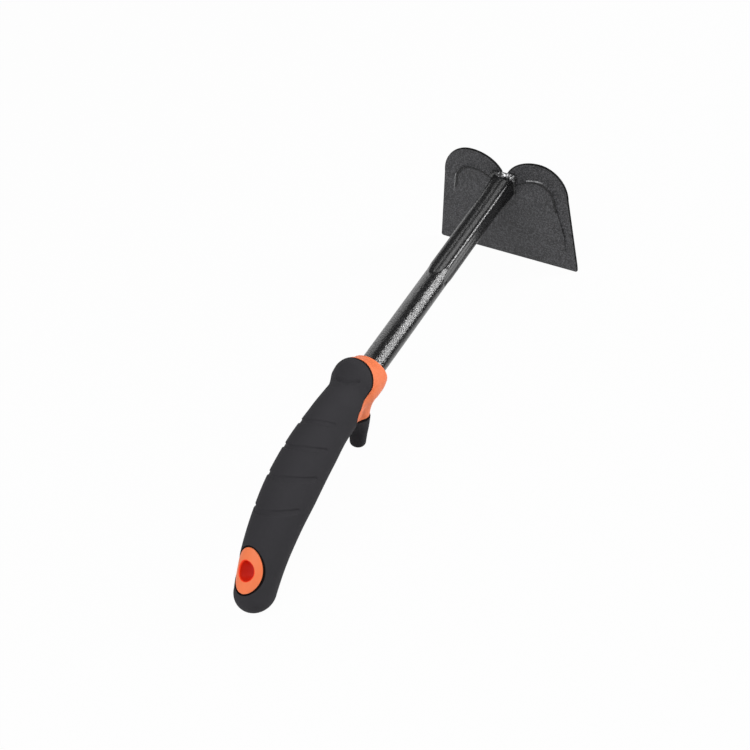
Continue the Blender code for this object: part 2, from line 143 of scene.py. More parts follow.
def skin(grid, wears=0, keep=True, close_rows=False):
    """A grid, the quads between its neighbouring rows and columns that keep allows, and which
    material they wear. The columns always close on themselves."""
    rows, columns = grid.shape[:2]
    r = np.arange(rows if close_rows else rows - 1)[:, None]
    c = np.arange(columns)[None, :]
    r2, c2 = (r + 1) % rows, (c + 1) % columns
    quads = np.stack([r * columns + c, r * columns + c2, r2 * columns + c2, r2 * columns + c], -1)
    return grid, quads[np.broadcast_to(keep, quads.shape[:2])], wears


def in_two(grid, marked, keep=True):
    """Two skins of one grid: its marked rows, which wear the second material, and the others."""
    is_marked = np.isin(np.arange(len(grid) - 1), marked)[:, None]
    return [skin(grid, 0, keep & ~is_marked), skin(grid, 1, keep & is_marked)]


print("a smooth step is", smooth_step(0.25), "a quarter of the way up")


# %% Turn grids into a piece
SHARP_ANGLE = math.radians(50)
MERGE_DISTANCE = 0.002 * MM


def add_piece(name, skins, materials, nodes):
    """One object from skins whose points are in the tool's frame."""
    points, faces, wears, start = [], [], [], 0
    for grid, quads, worn in skins:
        points.append(grid.reshape(-1, 3))
        faces.append(quads + start)
        wears.append(np.full(len(quads), worn))
        start += len(points[-1])
    mesh = bpy.data.meshes.new(name)
    mesh.from_pydata(to_row(np.concatenate(points)).tolist(), [], np.concatenate(faces).tolist())
    mesh.polygons.foreach_set("material_index", np.concatenate(wears).astype(np.int32))
    shape = bmesh.new()
    shape.from_mesh(mesh)
    bmesh.ops.delete(shape, geom=[v for v in shape.verts if not v.link_faces], context="VERTS")
    bmesh.ops.remove_doubles(shape, verts=shape.verts, dist=MERGE_DISTANCE)
    bmesh.ops.recalc_face_normals(shape, faces=shape.faces)
    shape.to_mesh(mesh)
    open_edges = sum(len(e.link_faces) != 2 for e in shape.edges)
    shape.free()
    mesh.shade_smooth()
    mesh.set_sharp_from_angle(angle=SHARP_ANGLE)
    piece = bpy.data.objects.new(name, mesh)
    bpy.context.scene.collection.objects.link(piece)
    for material in materials:
        mesh.materials.append(material)
    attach(piece, "root")
    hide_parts(*nodes)
    mesh.calc_loop_triangles()
    print(name, "triangles", len(mesh.loop_triangles), "open edges", open_edges)


print("edges stay sharp past", round(math.degrees(SHARP_ANGLE)), "degrees")

# %% [markdown]
# ## Shader maths as Python
# A `Wire` wraps one output socket. Adding or multiplying wires adds Math nodes, so a mask reads as
# a formula. Colours are blended with a Mix node instead, because a Math node would grey them.
# Patterns read Object coordinates, in metres, so noise of scale 1000 has lumps of about 1 mm.

# %% Wires and nodes
class Wire:
    def __init__(self, sheet, socket):
        self.sheet, self.socket = sheet, socket

    def math(self, operation, other, swap=False):
        pair = (other, self) if swap else (self, other)
        return self.sheet.node("ShaderNodeMath", {"operation": operation}, {0: pair[0], 1: pair[1]})

    def __add__(self, other):
        return self.math("ADD", other)

    def __sub__(self, other):
        return self.math("SUBTRACT", other)

    def __rsub__(self, other):
        return self.math("SUBTRACT", other, swap=True)

    def __mul__(self, other):
        return self.math("MULTIPLY", other)

    __radd__ = __add__
    __rmul__ = __mul__

    def limited(self):
        return self.sheet.node("ShaderNodeClamp", {}, {0: self})


class Sheet:
    """The node sheet of a material or a world, with one method that makes any node."""

    def __init__(self, owner):
        if isinstance(owner, str):
            owner = bpy.data.materials.new(owner)
        self.owner = owner
        owner.use_nodes = True
        self.tree = owner.node_tree
        self.shader = self.tree.nodes.get("Principled BSDF")
        self.place = self.node("ShaderNodeTexCoord", {}, {}, output="Object")

    def node(self, kind, settings, inputs, output=0):
        """Makes a node, changes its settings first and then fills or links its inputs."""
        made = self.tree.nodes.new(kind)
        for key, value in settings.items():
            if key == "stops":
                self.set_stops(made.color_ramp, value)
            else:
                setattr(made, key, value)
        for key, value in inputs.items():
            self.plug(made.inputs[key], value)
        return Wire(self, made.outputs[output])

    def set_stops(self, ramp, stops):
        for stop in range(len(stops) - 2):
            ramp.elements.new(0.5)
        for element, (place, value) in zip(ramp.elements, stops):
            element.position = place
            element.color = (value, value, value, 1.0)

    def plug(self, socket, value):
        if isinstance(value, Wire):
            self.tree.links.new(value.socket, socket)
        else:
            socket.default_value = value

    def noise(self, scale, detail, roughness):
        return self.node("ShaderNodeTexNoise", {}, {
            "Vector": self.place, "Scale": scale, "Detail": detail, "Roughness": roughness})

    def past(self, axis, start, climb):
        """0 up to start along X, Y or Z, then rising by climb a metre up to 1."""
        place = self.node("ShaderNodeSeparateXYZ", {}, {0: self.place}, output=axis)
        return ((place - start) * climb).limited()

    def ramp(self, factor, low, high):
        """0 up to low, then straight up to 1 at high."""
        stops = ((0.0, 0.0), (low, 0.0), (high, 1.0), (1.0, 1.0))
        return self.node("ShaderNodeValToRGB", {"stops": stops}, {0: factor})

    def rays(self, *kinds):
        """1 for rays of these kinds, such as Camera, and 0 for all others."""
        return sum(self.node("ShaderNodeLightPath", {}, {}, output=f"Is {kind} Ray")
                   for kind in kinds).limited()

    def blend(self, factor, first, second):
        ends = {0: factor, 6: (*first, 1), 7: (*second, 1)}
        return self.node("ShaderNodeMix", {"data_type": "RGBA"}, ends, output=2)

    def bump(self, height, distance, strength):
        return self.node("ShaderNodeBump", {}, {
            "Height": height, "Distance": distance, "Strength": strength}, output="Normal")

    def principled(self):
        return Wire(self, self.shader.outputs[0])

    def surface(self, factor, first, second):
        """Shows a mix of two shaders instead of the Principled one alone."""
        mixed = self.node("ShaderNodeMixShader", {}, {0: factor, 1: first, 2: second})
        self.plug(self.tree.nodes["Material Output"].inputs["Surface"], mixed)

    def finish(self, **inputs):
        for key, value in inputs.items():
            self.plug(self.shader.inputs[key.replace("_", " ")], value)
        return self.owner


print("a sheet makes", [name for name in vars(Sheet) if not name.startswith("_")])

# %% [markdown]
# ## Finishes
# The tube wears glossy hammered paint, whose skin pulls into small dimples. They could be modelled,
# but at half a millimetre a bump and a change of gloss do as well. The weld wears the same paint,
# worn down to bare metal on its top. The blade has a drier powder coat with a fine grain and
# paler flecks. It is darker on the cut edge. The panel's crease wears painted shade, a darker copy
# of the coat, and two places on the panel's border wear a painted highlight, a much paler copy.
# The collar and the eye are moulded polypropylene, satin and almost flat. Inside the slot they
# wear a redder copy: painted bounce light, the deeper red that light gets from wall to wall. The
# cover is a dull rubber, and the groove along its edge wears painted shade, a near-black copy of
# it. The hidden plug is plain grey polyethylene.

# %% Hammered paint for the tube and the weld
PAINT_BLACK = (0.006, 0.006, 0.0065)
BARE_METAL = (0.72, 0.72, 0.73)
# The weld is bare past this height and this place across, in the model's frame
BARE_ABOVE = float(TOOL_ORIGIN[2]) + 6.0 * MM
BARE_BESIDE = -4.0 * MM


def hammered_paint(name, dimple_scale, depth, flecks, bare_top=False):
    """Black gloss with dimples, duller pits and pale flecks, and on a bare top spots of metal."""
    sheet = Sheet(name)
    dimples = sheet.noise(dimple_scale, 1, 0.5) + sheet.noise(2600, 3, 0.7) * 0.25
    fleck = sheet.ramp(sheet.noise(1100, 2, 0.8), 0.52, 0.66)
    pits = sheet.ramp(sheet.noise(dimple_scale * 1.1, 2, 0.7), 0.46, 0.60)
    pale, metal = fleck * flecks, 0.0
    if bare_top:
        metal = sheet.ramp(sheet.noise(420, 2, 0.7), 0.46, 0.54) * sheet.past("Z", BARE_ABOVE, 500)
        metal = metal * sheet.past("Y", BARE_BESIDE, 600)
        pale = (metal + pale).limited()
    return sheet.finish(Base_Color=sheet.blend(pale, PAINT_BLACK, BARE_METAL), Metallic=metal,
                        Roughness=pits * 0.28 + 0.09, Normal=sheet.bump(dimples, depth, 1.0),
                        Specular_IOR_Level=0.7)


tube_paint = hammered_paint("hammered_black_paint", 850, 0.22 * MM, 0.05)
weld_paint = hammered_paint("painted_weld", 900, 0.5 * MM, 0.1, bare_top=True)
print("made", tube_paint.name, "and", weld_paint.name)


# %% Powder coat for the blade
PLAIN, ON_EDGE, PAINTED_CREASE_SHADE, PAINTED_HIGHLIGHT = range(4)

# In the same order: name, darkest and palest grey, depth of the grain in mm, shine
BLADE_COATS = (
    ("grey_black_powder_coat", (0.004, 0.004, 0.005), (0.100, 0.100, 0.107), 1.0, 0.5),
    ("coat_on_the_cut_edge", (0.004, 0.004, 0.004), (0.012, 0.012, 0.012), 0.1, 0.1),
    # painted shade for the panel's crease, darker than the plain coat
    ("coat_in_the_crease", (0.004, 0.004, 0.004), (0.060, 0.060, 0.062), 0.8, 0.2),
    # a painted highlight for two places on the panel's border, much paler than the plain coat
    ("coat_rubbed_bright", (0.060, 0.060, 0.062), (0.500, 0.500, 0.510), 0.3, 0.5),
)


def powder_coat(name, dark, light, depth, shine):
    """Grain that is rough, raised and paler together, with broad patches under it."""
    sheet = Sheet(name)
    grain, patches = sheet.noise(720, 3, 0.75), sheet.noise(60, 3, 0.5)
    fleck = sheet.ramp(grain, 0.46, 0.59)
    color = sheet.blend((fleck * 0.85 + patches * 0.3).limited(), dark, light)
    return sheet.finish(Base_Color=color, Roughness=grain * 0.3 + 0.40,
                        Normal=sheet.bump(grain, depth * MM, 0.8), Specular_IOR_Level=shine)


blade_coats = [powder_coat(*row) for row in BLADE_COATS]
print("made", [coat.name for coat in blade_coats])


# %% Moulded plastic and rubber
# In the same order: noise of the clouds of colour, noise of the grain, how far the grain changes
# the roughness and from what, its depth in mm and how strongly it shows, shine
SATIN = ((45, 2, 0.5), (1500, 2, 0.5), (0.1, 0.48), (0.02, 0.5), 0.3)
DULL = ((70, 3, 0.55), (1800, 3, 0.6), (0.12, 0.78), (0.03, 0.6), 0.2)
WAXY = ((900, 2, 0.5), (900, 2, 0.5), (0.1, 0.45), (0.02, 0.4), 0.5)


def moulded(name, kind, first, second):
    """Colour that clouds a little between two tones, under a fine grain of gloss and relief."""
    cloud_noise, grain_noise, (change, base), (depth, strength), shine = kind
    sheet = Sheet(name)
    clouds, grain = sheet.noise(*cloud_noise), sheet.noise(*grain_noise)
    return sheet.finish(Base_Color=sheet.blend(clouds, first, second),
                        Roughness=grain * change + base, Specular_IOR_Level=shine,
                        Normal=sheet.bump(grain, depth * MM, strength))


orange = moulded("orange_polypropylene", SATIN, (0.93, 0.240, 0.090), (0.93, 0.200, 0.074))
# A redder copy for the slot's walls: painted bounce light, the deeper red that light gets going
# from wall to wall
slot_orange_painted_bounce = moulded("orange_polypropylene_in_the_slot", SATIN,
                      (1.0, 0.056, 0.010), (1.0, 0.042, 0.008))
rubber = moulded("soft_black_rubber", DULL, (0.0295, 0.0285, 0.032), (0.0355, 0.0345, 0.0385))
# A near-black copy for the groove at the cover's edge: painted shade
groove_painted_shade = moulded("groove_black_rubber", DULL, (0.003, 0.002, 0.002), (0.004, 0.003, 0.003))
plug_plastic = moulded("plug_polyethylene", WAXY, (0.16, 0.16, 0.16), (0.22, 0.22, 0.22))
print("made", [m.name for m in (orange, slot_orange_painted_bounce, rubber, groove_painted_shade, plug_plastic)])

# %% [markdown]
# ## The blade
# A press cuts the plate to two lobes with a notch between them and pushes a shallow panel out of
# its middle. The plate could be cut out and bent with modifiers, but rings that follow the outline
# keep every edge smooth: from a point in the middle out over the panel, down its slope, over the
# rolled rim and back again behind. Depths along the plate are measured down from the tube's axis.
# The painted shade in the panel's crease and the two places of painted highlight follow the rings
# too, so each cell of the grid just picks the coat that it wears.

# %% The blade's outline
BLADE_LEAN = math.radians(3.6)
BLADE_THICKNESS = 2.0 * MM
EDGE_WIDTH = 127.0 * MM
SHOULDER_WIDTH = 110.2 * MM
EDGE_DEPTH = 72.7 * MM
LOBE_HEIGHT = 25.3 * MM
LOBE_SPACING = 59.4 * MM
SHOULDER_DROP = 2.8 * MM
NOTCH_HEIGHT = 10.7 * MM
NOTCH_WIDTH = 5.0 * MM
CORNER_RADIUS = 2.0 * MM
LOBE_OVERREACH = 1.1


def ellipse_arc(centre, radii, start_degrees, end_degrees, count):
    """Points (across, down) with across = cx + a cos t and down = cy + b sin t."""
    t = np.radians(np.linspace(start_degrees, end_degrees, count))
    return np.stack([centre[0] + radii[0] * np.cos(t), centre[1] + radii[1] * np.sin(t)], 1)


def straight(start, end, count):
    """Points between two others, without either end."""
    t = np.linspace(0, 1, count + 2)[1:-1, None]
    return mix(np.array(start), np.array(end), t)


def lobed_outline(top_width, bottom_width, lobe_top, shoulder, notch, notch_width, bottom, corner):
    """Half-round notch, quarter-ellipse lobes, straight sides, rounded corners, straight edge. The
    counts are fixed, so that two outlines pair up point by point."""
    half_top, half_bottom, lobe, half_notch = (
        v / 2 for v in (top_width, bottom_width, LOBE_SPACING, notch_width))
    inner_radius = LOBE_OVERREACH * (lobe - half_notch)
    cosine = (lobe - half_notch) / inner_radius
    inner_height = (notch - lobe_top) / (1 - math.sqrt(1 - cosine * cosine))
    start = 180 + math.degrees(math.acos(cosine))
    valley = ellipse_arc((0, notch), (half_notch, half_notch), 90, 0, 9)[:-1]
    inner_middle = (lobe, lobe_top + inner_height)
    inner = ellipse_arc(inner_middle, (inner_radius, inner_height), start, 270, 40)
    outer = ellipse_arc((lobe, shoulder), (half_top - lobe, shoulder - lobe_top), -90, 0, 48)[1:]
    low = ellipse_arc((half_bottom - corner, bottom - corner), (corner, corner), 0, 90, 9)
    side = straight(outer[-1], low[0], 44)
    edge = straight(low[-1], (-low[-1][0], bottom), 72)
    right = np.concatenate([valley, inner, outer, side, low])
    return np.concatenate([right, edge, right[:0:-1] * (-1, 1)])


def drawn_in(outline, distance):
    """The outline moved inwards along its normals, which are its tangents turned a quarter."""
    along = np.roll(outline, -1, 0) - np.roll(outline, 1, 0)
    along /= np.linalg.norm(along, axis=1)[:, None]
    return outline + distance * np.stack([-along[:, 1], along[:, 0]], 1)


rim = lobed_outline(SHOULDER_WIDTH, EDGE_WIDTH, -LOBE_HEIGHT, SHOULDER_DROP, -NOTCH_HEIGHT,
                    NOTCH_WIDTH, EDGE_DEPTH, CORNER_RADIUS)
print("rim", len(rim), "points, width and height", (np.ptp(rim, axis=0) / MM).round(1))

# %% The pressed panel
PANEL_RISE = 1.0 * MM
PANEL_SLOPE = 1.6 * MM
PANEL_SIDE_MARGIN = 8.8 * MM
PANEL_LOBE_DROP = 15.3 * MM
PANEL_NOTCH_DEPTH = 2.0 * MM
PANEL_NOTCH_WIDTH = 14.0 * MM
PANEL_BOTTOM_MARGIN = 8.0 * MM
PANEL_CORNER = 6.0 * MM
PANEL_FADE = 20.0 * MM
BLADE_MIDDLE = np.array([0.0, 22.0 * MM])


def panel_outline(inset, fade):
    """The rim's outline again, smaller, its notch behind the tube and its bottom raised by fade."""
    taper = (EDGE_WIDTH - SHOULDER_WIDTH) * PANEL_BOTTOM_MARGIN / EDGE_DEPTH
    return lobed_outline(
        SHOULDER_WIDTH - 2 * (PANEL_SIDE_MARGIN + inset),
        EDGE_WIDTH - taper - 2 * (PANEL_SIDE_MARGIN + inset),
        -LOBE_HEIGHT + PANEL_LOBE_DROP + inset,
        SHOULDER_DROP + PANEL_LOBE_DROP / 2,
        PANEL_NOTCH_DEPTH,
        PANEL_NOTCH_WIDTH + 2 * inset,
        EDGE_DEPTH - PANEL_BOTTOM_MARGIN - fade,
        PANEL_CORNER,
    )


print("panel width and height", (np.ptp(panel_outline(0, 0), axis=0) / MM).round(1))

# %% The blade's surface
RIM_RADIUS = 0.55 * MM
EDGE_BEVEL_HEIGHT = 6.0 * MM
EDGE_LAND = 0.8 * MM
# Rows and reach of the painted shade in the panel's crease
CREASE_ROWS = (8, 12)
CREASE_END = 16.0 * MM
# Rows and places of the painted highlight on the panel's border
HIGHLIGHT_ROWS = (15, 20)
HIGHLIGHT_LOBE_ACROSS = (19.0 * MM, 33.0 * MM)
HIGHLIGHT_SIDE_ACROSS = (-EDGE_WIDTH / 2, -40.0 * MM)
HIGHLIGHT_SIDE_DOWN = (2.0 * MM, 50.0 * MM)


def within(value, limits):
    """True where a value lies between two limits or on one."""
    return (value >= limits[0]) & (value <= limits[1])


def blade_finish(across, down, edge_start, edge_end):
    """Which coat each cell wears, by its ring and its place: the cut edge, painted shade inside the
    panel's border where it rounds the lobes, or a painted highlight on one of two places on that
    border."""
    across, down = across[:-1], down[:-1]
    row = np.arange(len(down))[:, None]
    # Cells painted darker as shade
    crease_shade = within(row, CREASE_ROWS) & (down < CREASE_END)
    on_lobe = within(across, HIGHLIGHT_LOBE_ACROSS) & (down < 0)
    on_side = within(across, HIGHLIGHT_SIDE_ACROSS) & within(down, HIGHLIGHT_SIDE_DOWN)
    # Cells painted paler as a highlight
    painted_highlight = within(row, HIGHLIGHT_ROWS) & (on_lobe | on_side)
    edge = within(row, (edge_start, edge_end - 1))
    return np.select([edge, crease_shade, painted_highlight], [ON_EDGE, PAINTED_CREASE_SHADE, PAINTED_HIGHLIGHT], PLAIN)


def face_rings():
    """Rings (across, down, height) of one face, from the middle out to where the rim rolls over."""
    flat, foot = panel_outline(PANEL_SLOPE, PANEL_FADE), panel_outline(0, 0)
    edge = drawn_in(rim, RIM_RADIUS)
    rings = [np.column_stack([mix(BLADE_MIDDLE, flat, t), np.zeros(len(rim))])
             for t in (0.0, 0.1, 0.25, 0.4, 0.55, 0.7, 0.8, 0.9, 0.96)]
    for t in np.linspace(0, 1, 13):
        rings.append(np.column_stack([panel_outline(PANEL_SLOPE * (1 - t), PANEL_FADE * (1 - t)),
                                      np.full(len(rim), -PANEL_RISE * smooth_step(t))]))
    low = np.full(len(rim), -PANEL_RISE)
    rings += [np.column_stack([mix(foot, edge, t), low]) for t in np.linspace(0, 1, 11)[1:]]
    return rings


def blade_surface():
    """Front rings, a rim of two quarter rounds and a wall, then the front's rings lower down."""
    front = face_rings()
    rolls = [(RIM_RADIUS * (1 - math.sin(a)), RIM_RADIUS * (1 - math.cos(a)))
             for a in np.linspace(0, math.pi / 2, 6)[1:]]
    roll = [np.column_stack([drawn_in(rim, inset), np.full(len(rim), -PANEL_RISE - drop)])
            for inset, drop in rolls]
    under = [ring * (1, 1, -1) - (0, 0, BLADE_THICKNESS + 2 * PANEL_RISE) for ring in roll[::-1]]
    back = [ring - (0, 0, BLADE_THICKNESS) for ring in front[::-1]]
    across, down, height = np.stack(front + roll + under + back).transpose(2, 0, 1)
    finish = blade_finish(across, down, len(front) - 1, len(front) + len(roll) + len(under))
    ground = np.clip((down - EDGE_DEPTH + EDGE_BEVEL_HEIGHT) / EDGE_BEVEL_HEIGHT, 0, 1)
    height = -PANEL_RISE + (height + PANEL_RISE) * (1 - ground * (1 - EDGE_LAND / BLADE_THICKNESS))
    lean_sin, lean_cos = math.sin(BLADE_LEAN), math.cos(BLADE_LEAN)
    surface = np.stack([down * lean_sin + height * lean_cos, across,
                        -down * lean_cos + height * lean_sin], -1)
    return surface, finish


blade_grid, blade_wears = blade_surface()
blade_skins = [skin(blade_grid, coat, blade_wears == coat) for coat in range(len(blade_coats))]
add_piece("pressed_blade", blade_skins, blade_coats, ["blade"])

# %% [markdown]
# ## The tube
# Its 12 cm nearest to the blade are pressed in from four sides. Sculpting four grooves would leave
# them unequal, so the radius is a formula instead: it dips where the four tools pressed and stands
# up in narrow crests between them. Each flute ends in a rounded tip, because the tool has a round
# nose. Rings stand closest where the tips are. The end at the blade flares a little.

# %% Tube radius and surface
FIT = 0.3 * MM
TUBE_RADIUS = 9.5 * MM
TUBE_WALL = 1.5 * MM
TUBE_FLARE = 1.4 * MM
FLUTE_DEPTH = 2.1 * MM
CREST_RISE = 0.7 * MM
FLUTE_LENGTH = 122.5 * MM
FLUTE_TIP = 11.5 * MM
FLUTE_RUN_OUT = 5.0 * MM
FLARE_LENGTH = 30.0 * MM
CREST_SHARPNESS = 3.8


def tube_radius(angle, x):
    """Round radius, plus a flare, plus strength times a crest where |sin 2a| is 1 and a dip where
    it is 0. The strength ends along a parabola across each flute, which rounds its tip."""
    from_flute = (angle + math.pi / 4) % (math.pi / 2) - math.pi / 4
    tip = FLUTE_TIP * (from_flute / (math.pi / 4)) ** 2
    strength = smooth_step((FLUTE_LENGTH - tip - x) / FLUTE_RUN_OUT)
    flare = TUBE_FLARE * smooth_step(1 - x / FLARE_LENGTH)
    crest = np.abs(np.sin(2 * angle)) ** CREST_SHARPNESS
    return TUBE_RADIUS + flare + strength * (crest * (CREST_RISE + FLUTE_DEPTH) - FLUTE_DEPTH)


def tube_rings(x, inward=0.0, around=160):
    """Rings at each x. Near the blade a ring leans with its face, and stands a little off it."""
    angle = circle(around)[None, :]
    x = np.atleast_1d(x)[:, None]
    radius = tube_radius(angle, x) - inward
    height = radius * np.cos(angle)
    near = 1 - smooth_step(x / FLARE_LENGTH)
    return np.stack([x + near * (FIT - height * math.tan(BLADE_LEAN)),
                     radius * np.sin(angle), height], -1)


outer_stops = np.concatenate([
    np.linspace(0, 40, 28), np.linspace(42, 104, 24), np.linspace(106, 129, 34),
    np.linspace(132, 213, 16), [262, 310],
]) * MM
inner_stops = np.array([310, 213, 128, 124, 116, 108, 60, 30, 15, 0]) * MM
tube = np.concatenate([tube_rings(outer_stops), tube_rings(inner_stops, TUBE_WALL)])
add_piece("fluted_tube", [skin(tube, close_rows=True)], [tube_paint], ["shank_tube"])

# %% [markdown]
# ## The weld
# A fillet runs all round the tube's end. It is thin and smooth at the sides, and at the top, where
# it fills the bottom of the notch, the welder has heaped it up in overlapping drops. Random noise
# would look like gravel there, so the drops are sines of different lengths added up.

# %% Weld bead
WELD_AROUND = 240
WELD_GAP = 0.09 * MM
WELD_LEG = 3.4 * MM
WELD_SIDE = 0.28
WELD_HEAP = 0.66
HEAP_START = 0.35
HEAP_FADE = 0.4
SIDE_ROUGHNESS = 0.15
# Rows: share of the leg, waves round the tube, shift along the sweep, start
WELD_DROPS = (0.16, 9, 0.7, 0.0)
WELD_LUMPS = ((0.08, 23, 2.0, 1.0), (0.07, 31, 6.0, 0.0), (0.05, 5, 0.0, 0.0))


def weld_surface():
    """A quarter round swept round the tube's end. Its size is the side's share of the leg, plus
    the heap's share at the top, plus drops that overlap as |sin| does and a few sines as lumps."""
    turn = circle(WELD_AROUND)[None, :]
    sweep = np.linspace(0, math.pi / 2, 20)[:, None]
    top = smooth_step((np.cos(turn) - HEAP_START) / HEAP_FADE)

    def wave(share, waves, shift, start):
        return share * np.sin(waves * turn + shift * sweep + start)

    lumps = np.abs(wave(*WELD_DROPS)) + sum(wave(*row) for row in WELD_LUMPS)
    rough = lumps * mix(SIDE_ROUGHNESS, 1.0, top) * np.sin(2 * sweep)
    size = WELD_LEG * (WELD_SIDE + WELD_HEAP * top + rough)
    base = tube_rings(np.array([0.0]), around=WELD_AROUND)[0]
    radial = base * (0, 1, 1)
    radial /= np.linalg.norm(radial, axis=1)[:, None]
    out, forward = size * np.cos(sweep), size * np.sin(sweep)
    arc = base + radial * (WELD_GAP + out[..., None]) + np.stack([forward, 0 * out, 0 * out], -1)
    return np.concatenate([(base + radial * WELD_GAP)[None], arc])


add_piece("weld_fillet", [skin(weld_surface(), close_rows=True)], [weld_paint], ["weld_bead"])

# %% [markdown]
# ## The grip's long body
# A centreline runs straight behind the collar and then bends down towards the butt. Square to it
# stands an oval section whose half height, half width and lift change smoothly with the distance.
# Past the last section the oval shrinks over a dome. A subdivided box could be pushed into this
# form by eye, but every layer of the grip is this same surface drawn in by an inset, so the
# collar, the hidden core and the soft cover fit each other.

# %% Centreline, sections and the body's surface
GRIP_FRONT = 216.0 * MM
GRIP_STRAIGHT = 53.0 * MM
BEND_RADIUS = 155.0 * MM
GRIP_LENGTH = GRIP_STRAIGHT + BEND_RADIUS * math.radians(48)
BUTT_LENGTH = 14.9 * MM
BUTT_ARC = 23.0 * MM
BOTTOM = math.pi
GRIP_AROUND = 144
ANGLES = circle(GRIP_AROUND)

# Rows: distance from the front, half height and half width beyond the tube's radius, lift
GRIP_SECTIONS = np.array([
    (0, 3, 6, 9, 12, 15, 19, 23, 28, 33, 39, 55, 82, 109, 135, 160, 182.9),
    (5.3, 6.3, 8.2, 10.0, 11.1, 11.2, 11.0, 9.8, 8.4, 7.4, 8.3, 10.2, 10.5, 10.5, 9.8, 8.8, 7.3),
    (5.4, 6.2, 6.8, 7.3, 7.6, 8.2, 8.4, 8.3, 6.6, 5.4, 6.4, 6.4, 8.4, 9.1, 7.8, 6.0, 4.3),
    (-0.3, -0.2, 0.3, 1.6, 2.8, 3.7, 4.6, 4.5, 4.0, 3.3, 1.9, 1.9, 1.6, 1.8, 2.6, 3.1, 2.3),
]) * MM


def grip_line(s):
    """Centreline at distance s: straight, then a circle. Gives x, z and the turn from level."""
    turn = np.maximum(0.0, s - GRIP_STRAIGHT) / BEND_RADIUS
    x = GRIP_FRONT + np.minimum(s, GRIP_STRAIGHT) + BEND_RADIUS * np.sin(turn)
    return x, -BEND_RADIUS * (1 - np.cos(turn)), turn


def grip_point(s, angle, inset=0.0):
    """Oval: up = a cos(angle) + lift, across = b sin(angle). Past the end a and b shrink as a
    cosine while the section moves on by the butt's length times the sine."""
    s, angle, inset = np.broadcast_arrays(s, angle, inset)
    over = np.clip((s - GRIP_LENGTH) / BUTT_ARC, 0, 1) * math.pi / 2
    s = np.minimum(s, GRIP_LENGTH)
    knots = GRIP_SECTIONS[0] * GRIP_LENGTH / GRIP_SECTIONS[0, -1]
    over_height, over_width, lift = (smooth_curve(knots, row, s) for row in GRIP_SECTIONS[1:])
    x, z, turn = grip_line(s)
    up = (TUBE_RADIUS + over_height - inset) * np.cos(over) * np.cos(angle) + lift
    across = (TUBE_RADIUS + over_width - inset) * np.cos(over) * np.sin(angle)
    beyond = (BUTT_LENGTH - inset) * np.sin(over)
    return np.stack([x + up * np.sin(turn) + beyond * np.cos(turn), across,
                     z + up * np.cos(turn) - beyond * np.sin(turn)], -1)


def grip_ring(s, inset=0.0):
    """The body's section at s, a point for every angle of its grid."""
    return grip_point(s, ANGLES, inset)


print("grip centreline", round(GRIP_LENGTH / MM, 1), "mm long")

# %% [markdown]
# ## Where orange meets black
# Seen from the side, the orange ends along one curve: straight down behind the collar, back along
# the grip's flank, round, and forward again across the finger guard. Each layer's edge is the line
# where its surface crosses that curve, found by halving an interval for all angles at once. A
# boolean cut would leave a ragged edge there, and rows that end on the line can be rounded off.

# %% The edge of the orange zone
# Rows: how far behind the grip's front, and at what height
ORANGE_ZONE = np.array([
    (6.0, 19.5, 29.0, 38.5, 43.5, 45.6, 45.2, 42.1, 35.0, 27.7, 22.5, 16.8, 14.3, 12.4, 12.0, 12.0),
    (-28.5, -24.2, -21.3, -18, -11.5, -5.4, -1.2, 2.8, 5.2, 8.2, 11.3, 17, 20, 23.4, 27, 45),
]) * MM
# From here back the rows of every layer stand square to the centreline
FLOW_END = 52.0 * MM
HALVINGS = 30
EDGE_RADIUS = 17.0 * MM
MOST_REACH = 2.5


def inside_zone(points):
    """How far inside the orange zone's curve a point lies, measured along the tool."""
    border = smooth_curve(ORANGE_ZONE[1], ORANGE_ZONE[0], points[..., 2])
    return border - (points[..., 0] - GRIP_FRONT)


def cover_edge(angle):
    """Distance along the grip at which each angle leaves the zone, by halving an interval."""
    low, high = np.zeros_like(angle), np.full_like(angle, FLOW_END)
    for _ in range(HALVINGS):
        middle = (low + high) / 2
        inside = inside_zone(grip_point(middle, angle)) > 0
        low, high = np.where(inside, middle, low), np.where(inside, high, middle)
    return low


EDGE = cover_edge(ANGLES)
EDGE_GRADE = (np.roll(EDGE, -1) - np.roll(EDGE, 1)) / (2 * (ANGLES[1] - ANGLES[0])) / EDGE_RADIUS
# How much distance along the grip a metre across its slanting edge takes up
EDGE_REACH = np.minimum(np.sqrt(1 + EDGE_GRADE ** 2), MOST_REACH)
print("cover starts", round(EDGE.min() / MM, 1), "to", round(EDGE.max() / MM, 1), "mm back")

# %% [markdown]
# ## Windows for the eye
# The eye goes right through the butt. A boolean would cut it, but with long thin faces that shade
# badly. Instead the grid of rows and columns leaves a window open above and below, and a band of
# rings fills the space between its border and the oval. Border points and oval points are paired
# by direction, so the rings never cross.

# %% Oval columns through the butt
EYE_BEFORE_END = 15.7 * MM
EYE_SHIFT = -1.5 * MM
EYE = np.array([32.4, 23.0]) * MM
SLOT = np.array([14.0, 12.6]) * MM
WINDOW_START = 146.5 * MM
WINDOW_END = 194.5 * MM
WINDOW_ROWS = 24
WINDOW_COLUMNS = 30
WINDOW_STOPS = np.linspace(WINDOW_START, WINDOW_END, WINDOW_ROWS + 1)
CORRECTIONS = 10
SIDES = (1, -1)


def window_border():
    """Row and column of each border point in order, columns counted from the middle of a window."""
    rows, columns = np.arange(WINDOW_ROWS), np.arange(2 * WINDOW_COLUMNS)
    row = np.concatenate([0 * columns, rows, 0 * columns + WINDOW_ROWS, WINDOW_ROWS - rows])
    column = np.concatenate([columns, 0 * rows + 2 * WINDOW_COLUMNS,
                             2 * WINDOW_COLUMNS - columns, 0 * rows])
    return row, column - WINDOW_COLUMNS


